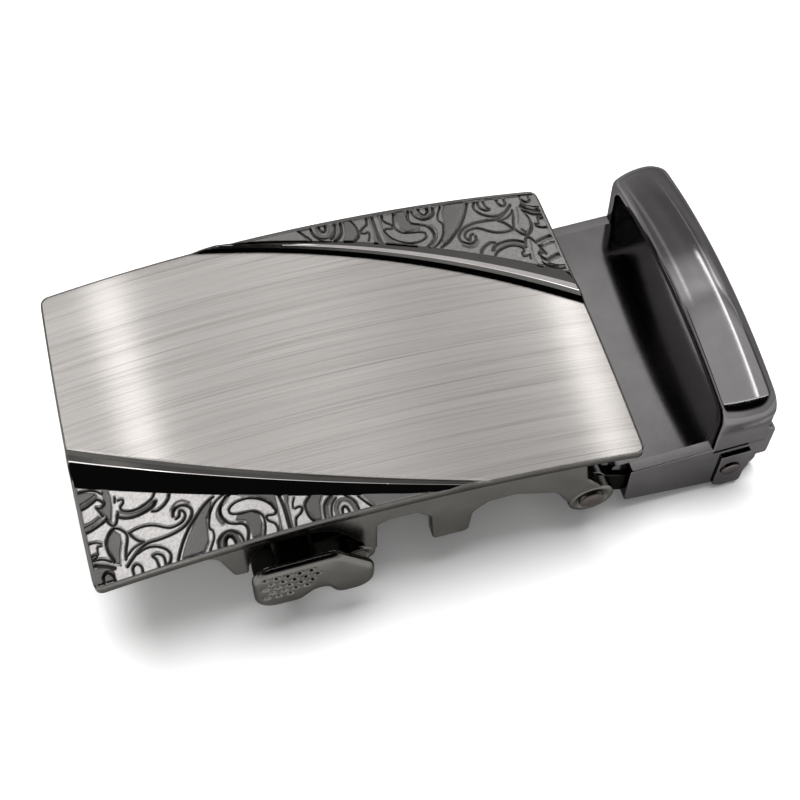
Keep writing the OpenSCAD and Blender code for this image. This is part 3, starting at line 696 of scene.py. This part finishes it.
# Round details on the walls: radius and height out of the wall's face.
EAR = [(2.9, -1.5), (2.9, -0.25), (2.83, -0.08), (2.65, 0.03), (1.95, 0.03), (1.75, -0.2), (1.1, -0.2)]
BOSS = [(2.1, -1.5), (2.1, -0.25), (2.03, -0.08), (1.85, 0.03), (1.15, 0.03), (1.02, -0.1), (0.6, -0.1)]
RIVET_DOME = [(1.62, -0.15), (1.62, 0.12), (1.5, 0.24), (1.2, 0.3), (0.6, 0.34)]


def wall_outline(table):
    body = rounded([(*WALL_START, 0)] + table + [(WALL_END, arch(WALL_END) - UNDER_PLATE, 0)])
    x = np.linspace(WALL_END, WALL_START[0], 40)[1:-1]
    return np.vstack([body, np.stack([x, arch(x) - UNDER_PLATE], -1)])


def cover_walls():
    pieces = [plank("wall_front", wall_outline(WALL_FRONT), -WALL_OUT, -WALL_IN, WALL_EDGE, gun, "cover"),
              plank("wall_back", wall_outline(WALL_BACK), WALL_IN, WALL_OUT, WALL_EDGE, gun, "cover")]
    for side, word in ((-1, "front"), (1, "back")):
        face = side * WALL_OUT
        pieces.append(turned("ear_" + word, HINGE_X, HINGE_Z, face, side, EAR, gun, "cover"))
        pieces.append(turned("boss_" + word, LEVER_X, LEVER_Z, face, side, BOSS, gun, "cover"))
        turned("rivet_head_" + word, HINGE_X, HINGE_Z, face, side, RIVET_DOME, steel, "cover")
    return pieces


# The release lever. The tab's outline and the pawl's, seen from the front: x, z, corner radius.
TAB = [
    (-15.4, -4.4, 2.6), (-5.4, -4.2, 2.4), (-1.1, -9.5, 2.4), (-1.3, -14.6, 2.4),
    (-5.8, -14.5, 1.6), (-7.4, -10.9, 1.2), (-10, -13.7, 1.6), (-15.4, -13.6, 2.6)]
TAB_FACE, TAB_BACK, TAB_ROUND, TAB_SWELL = -22.8, -21.3, 0.72, 0.12
TAB_MIDDLE, TAB_CORE = np.array((-7.6, -8.2)), 0.02
TAB_POINTS, TAB_RINGS = 240, 60
PAWL = [
    (-14.8, -17.4, 0.8), (-9, -18, 0.8), (LEVER_X, LEVER_Z - 2.2, 0), (LEVER_X, LEVER_Z + 2.2, 0),
    (-8, -10, 1), (-11.4, -10, 0.5), (-12.9, -7.6, 0.2), (-14.8, -7.6, 0.2)]
PAWL_FROM, PAWL_TO = -17.7, 10
ARM = [(-12.4, -14.2, 0.6), (-7.6, -13.2, 0.6), (-7.6, -4.9, 1), (-12.4, -4.9, 1)]
ARM_END = -14.5
HUB_R, HUB_IN = 2.2, 0.05
DIMPLE_ROWS = [(-5.6, 5), (-6.8, 5), (-8, 5), (-9.2, 4), (-10.4, 3)]
DIMPLE_X, DIMPLE_PITCH, DIMPLE_R, DIMPLE_DEEP = -14.0, 1.35, 0.48, 0.46


def lever_tab():
    """A pillow with a fully rounded rim and a face of small dimples."""
    p = counter_clockwise(rounded(TAB, 16))
    d = np.linalg.norm(np.roll(p, -1, 0) - p, axis=1)
    along = np.concatenate([[0], np.cumsum(d)])
    t = np.linspace(0, along[-1], TAB_POINTS + 1)[:-1]
    p = np.stack([np.interp(t, along, np.append(p[:, k], p[0, k])) for k in (0, 1)], -1)
    n = len(p)
    rings = []
    middle_y = (TAB_FACE + TAB_BACK) / 2
    half = (TAB_BACK - TAB_FACE) / 2
    inner = shrunk(p, TAB_ROUND)
    for share in np.linspace(TAB_CORE, 1, TAB_RINGS):
        q = TAB_MIDDLE + (inner - TAB_MIDDLE) * share
        swell = TAB_SWELL * (1 - share ** 3)
        rings.append((q, np.full(n, TAB_FACE + TAB_SWELL - swell)))
    for a in np.radians(np.linspace(0, 180, 15)[1:]):
        q = shrunk(p, TAB_ROUND * (1 - math.sin(a)))
        rings.append((q, np.full(n, middle_y - (half - TAB_SWELL / 2) * math.cos(a) + TAB_SWELL / 2)))
    rings.append((TAB_MIDDLE + (inner - TAB_MIDDLE) * TAB_CORE, np.full(n, TAB_BACK)))
    pts = np.stack([np.stack([q[:, 0], y, q[:, 1]], -1) for q, y in rings])
    face = pts[:TAB_RINGS]
    for k, (z, count) in enumerate(DIMPLE_ROWS):
        for i in range(count):
            x = DIMPLE_X + DIMPLE_PITCH * (i + (k % 2) / 2)
            gap = np.hypot(face[..., 0] - x, face[..., 2] - z) / DIMPLE_R
            face[..., 1] += DIMPLE_DEEP * np.sqrt(np.clip(1 - gap ** 2, 0, 1))
    faces = []
    for k in range(len(rings) - 1):
        for i in range(n):
            j = (i + 1) % n
            faces.append((k * n + i, (k + 1) * n + i, (k + 1) * n + j, k * n + j))
    faces.append(tuple(range(n)))
    faces.append(tuple((len(rings) - 1) * n + i for i in range(n))[::-1])
    return make("lever_tab", placed(pts.reshape(-1, 3)), faces, [gun], "lever")


def lever():
    a = np.linspace(0, 2 * math.pi, 32, endpoint=False)
    hub = np.stack([LEVER_X + HUB_R * np.cos(a), LEVER_Z + HUB_R * np.sin(a)], -1)
    # The arm, pawl and hub are near-black as painted shade.
    return [lever_tab(), plank("lever_arm", rounded(ARM), TAB_BACK - 0.4, ARM_END, 0.3, inside, "lever"),
            plank("lever_pawl", rounded(PAWL), PAWL_FROM, PAWL_TO, 0.12, inside, "lever"),
            plank("lever_hub", hub, PAWL_FROM + HUB_IN, PAWL_TO - HUB_IN, 0.2, inside, "lever")]


# The keeper's outlines in its own frame, seen from the front: x, z, corner radius.
SIDE = [(5.3, BASE_TOP, 0.35), (5.3, -5.8, 0.5), (17.4, -7.7, 1), (18.6, -8.5, 1), (21.2, -8.4, 1.2),
        (22, -5.4, 0.5), (22, 4, 0), (16.8, 4, 0), (16.8, BASE_TOP, 0)]
CHEEK = [(20, -3.4, 0), (24.2, -3.4, 0.5), (24.2, 2.6, 0.9), (22.4, 4.2, 0), (20, 1, 0)]
PAD = [(17.4, -0.5, 0.3), (17.4, -7.7, 0.3), (18.6, -8.5, 1), (21.2, -8.4, 0.5), (21.4, -0.5, 0.3)]
BASE = [(3.4, BASE_TOP, 0.4), (3.4, BASE_LOW, 0.3), (22.9, BASE_LOW, 0.3), (22.9, BASE_TOP, 0.3)]
EAR_ARM = [(0, -2.6, 0), (5, -4.4, 0.5), (6.6, -4.4, 0.3), (6.6, -1.2, 0.3), (1.2, 1.6, 0.8)]
EAR_OUT, EAR_T = 17.8, 1.6
PAD_UP = 0.35
# How far walls, cheeks and pads start inside the loop's legs: faces in one plane would show as black patches.
BEHIND_LEG, BEHIND_CHEEK, BEHIND_PAD = 0.02, 0.25, 0.3
JAW_X, JAW_Z = 19.15, -4.1
LUG = [(2.7, -1.6), (2.7, -0.2), (2.5, 0), (1.3, 0)]
PIN_HEAD = [(1.28, -0.1), (1.28, 0.12), (1.15, 0.2), (0.5, 0.22)]


def keeper_plank(name, table, y_a, y_b, edge, mat):
    return plank(name, rounded(table), min(y_a, y_b), max(y_a, y_b), edge, mat, "keeper", on_keeper)


def keeper_body():
    pieces = [keeper_plank("keeper_base", BASE, -KEEPER_IN - 0.2, KEEPER_IN + 0.2, 0.05, polish)]
    for side, word in ((-1, "front"), (1, "back")):
        wall, cheek, pad = (side * (KEEPER_HALF - by) for by in (BEHIND_LEG, BEHIND_CHEEK, BEHIND_PAD))
        inner, pad_face = side * KEEPER_IN, side * (KEEPER_HALF + PAD_UP)
        ear, ear_in = side * EAR_OUT, side * (EAR_OUT - EAR_T)
        pieces.append(keeper_plank("keeper_wall_" + word, SIDE, wall, inner, 0.12, polish))
        pieces.append(keeper_plank("keeper_cheek_" + word, CHEEK, cheek, inner, 0.3, polish))
        pieces.append(keeper_plank("keeper_pad_" + word, PAD, pad_face, pad, 0.1, polish))
        # The ear's arm is near-black as painted shade.
        pieces.append(keeper_plank("keeper_ear_" + word, EAR_ARM, ear, ear_in, 0.2, inside))
        pieces.append(turned("keeper_lug_" + word, 0, 0, ear, side, LUG, polish, "keeper", on_keeper))
        turned("jaw_pin_head_" + word, JAW_X, JAW_Z, pad_face, side, PIN_HEAD, steel, "keeper", on_keeper)
    return pieces


# The loop: a bar over two legs, swept with one section. Its opening's top bows up over the flat span.
BAR_START, BAR_END = 15.9, 22.9
BAR_W = BAR_END - BAR_START
LEG_T, LEG_LOW = 1.7, 0.9
OPENING_TOP, BAR_BOW = 8.8, 2.4
BAR_T = 1.5
INNER_ROUND, OUTER_ROUND = 2.2, 2.6
CREST_AT, CREST_UP, CREST_POWER = 4.3, 1.0, 2.2
EDGE_ROUND, INNER_CHAMFER = 0.45, 0.2
SWELL_FROM, SWELL_OVER = 5.5, 3.5


def loop_section():
    """The loop's section as x and height over its inner side: two rounded edges and a swollen back."""
    near = np.linspace(0, 1, 24) ** 1.5 * CREST_AT
    far = BAR_W - np.linspace(1, 0, 24)[1:] ** 1.5 * (BAR_W - CREST_AT)
    x = np.concatenate([near, far])
    t = np.where(x < CREST_AT, (CREST_AT - x) / CREST_AT, (x - CREST_AT) / (BAR_W - CREST_AT))
    swell = CREST_UP * (1 - t ** CREST_POWER)
    edge = np.minimum(x, BAR_W - x)
    edge = np.clip((EDGE_ROUND - edge) / EDGE_ROUND, 0, 1)
    back = BAR_T - EDGE_ROUND + swell + EDGE_ROUND * np.sqrt(np.maximum(1 - edge ** 2, 0))
    cut = INNER_CHAMFER
    low = [(BAR_W, cut), (BAR_W - cut, 0), (cut, 0), (0, cut)]
    return np.vstack([np.stack([x, back], -1), low])


def loop_lines():
    """The loop's inner and outer lines in y and z, point by point side by side, from leg to leg."""
    inner_half = KEEPER_HALF - LEG_T
    bow_r = (inner_half ** 2 + BAR_BOW ** 2) / (2 * BAR_BOW)
    centre = OPENING_TOP + BAR_BOW - bow_r

    def line(half, lift, corner):
        """Up the leg, round the corner and half way along the bow."""
        r = bow_r + lift
        turn = math.asin((half - corner) / (r - corner))
        cy, cz = (r - corner) * math.sin(turn), centre + (r - corner) * math.cos(turn)
        leg = [(-half, z) for z in np.linspace(LEG_LOW, cz, 12, endpoint=False)]
        sweep = np.linspace(0, math.pi / 2 - turn, 14)
        bend = [(-cy - corner * math.cos(a), cz + corner * math.sin(a)) for a in sweep]
        bow = [(-r * math.sin(a), centre + r * math.cos(a)) for a in np.linspace(turn, 0, 40)[1:]]
        return np.array(leg + bend + bow)

    inner, outer = line(inner_half, 0, INNER_ROUND), line(KEEPER_HALF, BAR_T, OUTER_ROUND)
    return [np.vstack([p, p[-2::-1] * (-1, 1)]) for p in (inner, outer)]


def loop():
    """The section swept from leg to leg. Its back swells over the bar alone."""
    inner, outer = loop_lines()
    section = counter_clockwise(loop_section())
    out = outer - inner
    thick = np.linalg.norm(out, axis=1)
    out /= thick[:, None]
    bar_share = np.clip((outer[:, 1] - SWELL_FROM) / SWELL_OVER, 0, 1)
    pts = []
    for p, o, t, share in zip(inner, out, thick, bar_share):
        crown = np.clip(section[:, 1] - BAR_T, 0, None) * share
        h = np.minimum(section[:, 1], BAR_T) * t / BAR_T + crown
        pts.append(np.stack([BAR_START + section[:, 0], p[0] + o[0] * h, p[1] + o[1] * h], -1))
    pts = np.stack(pts)
    n, m = pts.shape[:2]
    faces = []
    for i in range(n - 1):
        for j in range(m):
            k = (j + 1) % m
            faces.append((i * m + j, i * m + k, (i + 1) * m + k, (i + 1) * m + j))
    faces.append(tuple(range(m))[::-1])
    faces.append(tuple((n - 1) * m + j for j in range(m)))
    return make("keeper_loop", on_keeper(pts.reshape(-1, 3)), faces, [polish], "keeper", weighted=True)


top = [panel_and_ridges(), relief("relief_front", False), relief("relief_back", True), plate_edge()]
for piece in top + cover_walls():
    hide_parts("cover")
for piece in lever():
    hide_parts("release_lever")
bar = loop()
for piece in keeper_body() + [bar]:
    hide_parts("keeper")


def dress(name, mat):
    """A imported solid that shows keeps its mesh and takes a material."""
    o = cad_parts[name]
    o.data.materials.clear()
    o.data.materials.append(mat)
    o.data.polygons.foreach_set("material_index", np.zeros(len(o.data.polygons), np.int32))
    o.data.polygons.foreach_set("use_smooth", np.ones(len(o.data.polygons), bool))
    o.data.set_sharp_from_angle(angle=math.radians(32))


for name in ("lever_pin", "hinge_rivet_front", "hinge_rivet_back", "jaw_pin"):
    dress(name, steel)
dress("strap_jaw", polish)


# Studio. Directions of the tent's light are given as in the world's shader: x towards the keeper, y away
# from the camera, z up, and the angle round y in degrees from straight up, positive towards the keeper.
FLOOR_HALF = 3.0
PAPER_DARK, PAPER_PALE = (0.93, 0.93, 0.93), (0.96, 0.96, 0.96)
# Narrow bright strips, mirrored as the panel's two bands: angle, half width, soft edge, brightness.
STRIPS = [(-18.4, 1.7, 1.0, 1.85), (39.0, 1.5, 1.0, 2.5)]
# The card over the loop: from y, to y, brightness. It fades out away from the camera.
CARD = [(-46, 22, 1.65), (22, 28, 1.45), (28, 34, 1.2), (34, 40, 0.9), (40, 46, 0.5)]
CARD_X, CARD_UP = (-60, 200), 100
# The photograph's camera in the cover's frame: place, heading from +X towards +Y, tilt below level and roll.
CAMERA_AT = (-18.151, -83.794, 137.073)
HEADING, LOOK_DOWN, ROLL = 72.452, 59.664, 1.747
LENS, SENSOR = 61.875, 36


def backdrop():
    me = bpy.data.meshes.new("floor")
    r = FLOOR_HALF
    me.from_pydata([(-r, -r, 0), (r, -r, 0), (r, r, 0), (-r, r, 0)], [], [(0, 1, 2, 3)])
    o = bpy.data.objects.new("floor", me)
    bpy.context.scene.collection.objects.link(o)
    m, nt, shader = new_material("paper", 0.0)
    soft = noise(nt, object_point(nt), 40, 3, 0.5)
    nt.links.new(ramp(nt, soft, [(0.2, PAPER_DARK), (0.8, PAPER_PALE)]), shader.inputs["Base Color"])
    shader.inputs["Roughness"].default_value = 0.9
    shader.inputs["Specular IOR Level"].default_value = 0.1
    me.materials.append(m)


def light_tent():
    """A bright tent with a broad lamp in its far half, bright strips in the lamp and a dark opening overhead,
    where the photographer stands."""
    w = bpy.data.worlds.new("tent")
    bpy.context.scene.world = w
    w.use_nodes = True
    nt = w.node_tree
    bg = nt.nodes["Background"]
    tc = nt.nodes.new("ShaderNodeTexCoord")
    split = nt.nodes.new("ShaderNodeSeparateXYZ")
    nt.links.new(tc.outputs["Generated"], split.inputs[0])
    x, y, z = split.outputs
    around = calc(nt, "MULTIPLY", calc(nt, "ARCTAN2", x, z), 180 / math.pi)

    def add(a, b):
        return calc(nt, "ADD", a, b)

    def times(a, b):
        return calc(nt, "MULTIPLY", a, b)

    def strip(centre, half, soft):
        d = calc(nt, "ABSOLUTE", calc(nt, "SUBTRACT", around, centre))
        return step(nt, d, half + soft, half)

    # The lamp is brightest left of straight up.
    lamp = add(step(nt, around, 22.0, 6.0, 1.12, 1.45), step(nt, around, 4.0, -9.0, 0.0, -0.1))
    for centre, half, soft, level in STRIPS:
        lamp = add(lamp, times(strip(centre, half, soft), level))
    # It is brighter at its left end and dimmer towards the tent's far wall.
    glow = step(nt, y, 0.6, 0.42)
    lamp = add(lamp, times(glow, step(nt, around, -12.0, -30.0, 0.0, 0.4)))
    lamp = times(lamp, step(nt, y, 0.49, 0.59, 1.25, 0.37))
    # Nearer than the lamp is the dark opening.
    high = add(times(lamp, step(nt, y, 0.34, 0.405)), 0.004)
    # The tent's walls are a little brighter on the left and in front.
    low = add(step(nt, x, -0.2, 0.3, 1.0, 0.7), step(nt, y, 0.3, -0.1, 0.0, 0.3))
    share = step(nt, z, 0.36, 0.56)
    total = add(times(high, share), times(low, calc(nt, "SUBTRACT", 1.0, share)))
    nt.links.new(total, bg.inputs["Strength"])
    bg.inputs["Color"].default_value = (1, 0.992, 0.985, 1)


def lamp_over_floor(name, at, watts):
    """A soft lamp for the paper and its shadows: no metal mirrors it."""
    light = bpy.data.lights.new(name, "AREA")
    light.shape, light.size, light.energy = "DISK", 0.9, watts
    o = bpy.data.objects.new(name, light)
    o.matrix_world = Matrix.Translation(at) @ Vector(at).to_track_quat("Z", "Y").to_matrix().to_4x4()
    o.visible_glossy = False
    o.visible_camera = False
    bpy.context.scene.collection.objects.link(o)


def bar_light(name, low, high, up, level):
    """A flat light of even brightness between two corners at one height, which lights the loop alone."""
    low, high = np.array(low), np.array(high)
    light = bpy.data.lights.new(name, "AREA")
    light.shape = "RECTANGLE"
    light.size, light.size_y = (high - low) / 1000
    light.energy = math.pi * light.size * light.size_y * level
    o = bpy.data.objects.new(name, light)
    o.location = placed((*(low + high) / 2, up))
    o.visible_camera = False
    lit = bpy.data.collections.new(name + "_lights")
    lit.objects.link(bar)
    o.light_linking.receiver_collection = lit
    bpy.context.scene.collection.objects.link(o)


def loop_lights():
    """What the photograph's loop mirrors: a card overhead with a bright rim in front, and a narrow strip."""
    left, right = CARD_X
    for k, (y_from, y_to, level) in enumerate(CARD):
        bar_light(f"card_{k}", (left, y_from), (right, y_to), CARD_UP, level)
    bar_light("card_end", (105, 38.5), (220, 60), CARD_UP, 1.65)
    bar_light("card_rim", (left, -50), (right, CARD[0][0]), CARD_UP, 7)
    bar_light("strip", (60.2, -27), (64.4, 30), 41, 6.5)


def camera():
    heading, down, roll = (math.radians(a) for a in (HEADING, LOOK_DOWN, ROLL))
    level = math.cos(down)
    ahead = Vector((level * math.cos(heading), level * math.sin(heading), -math.sin(down)))
    cam = bpy.data.cameras.new("camera")
    cam.lens, cam.sensor_width, cam.clip_start = LENS, SENSOR, 0.01
    o = bpy.data.objects.new("camera", cam)
    turn = ahead.to_track_quat("-Z", "Y").to_matrix() @ Matrix.Rotation(roll, 3, "Z")
    m = turn.to_4x4()
    m.translation = Vector(placed(CAMERA_AT))
    o.matrix_world = m
    bpy.context.scene.collection.objects.link(o)
    bpy.context.scene.camera = o


backdrop()
light_tent()
lamp_over_floor("lamp_behind", (0.05, 0.225, 1.2), 20.5)
lamp_over_floor("lamp_before", (-0.1, -0.25, 1.2), 2.5)
loop_lights()
camera()
bpy.context.scene.view_settings.view_transform = "Standard"
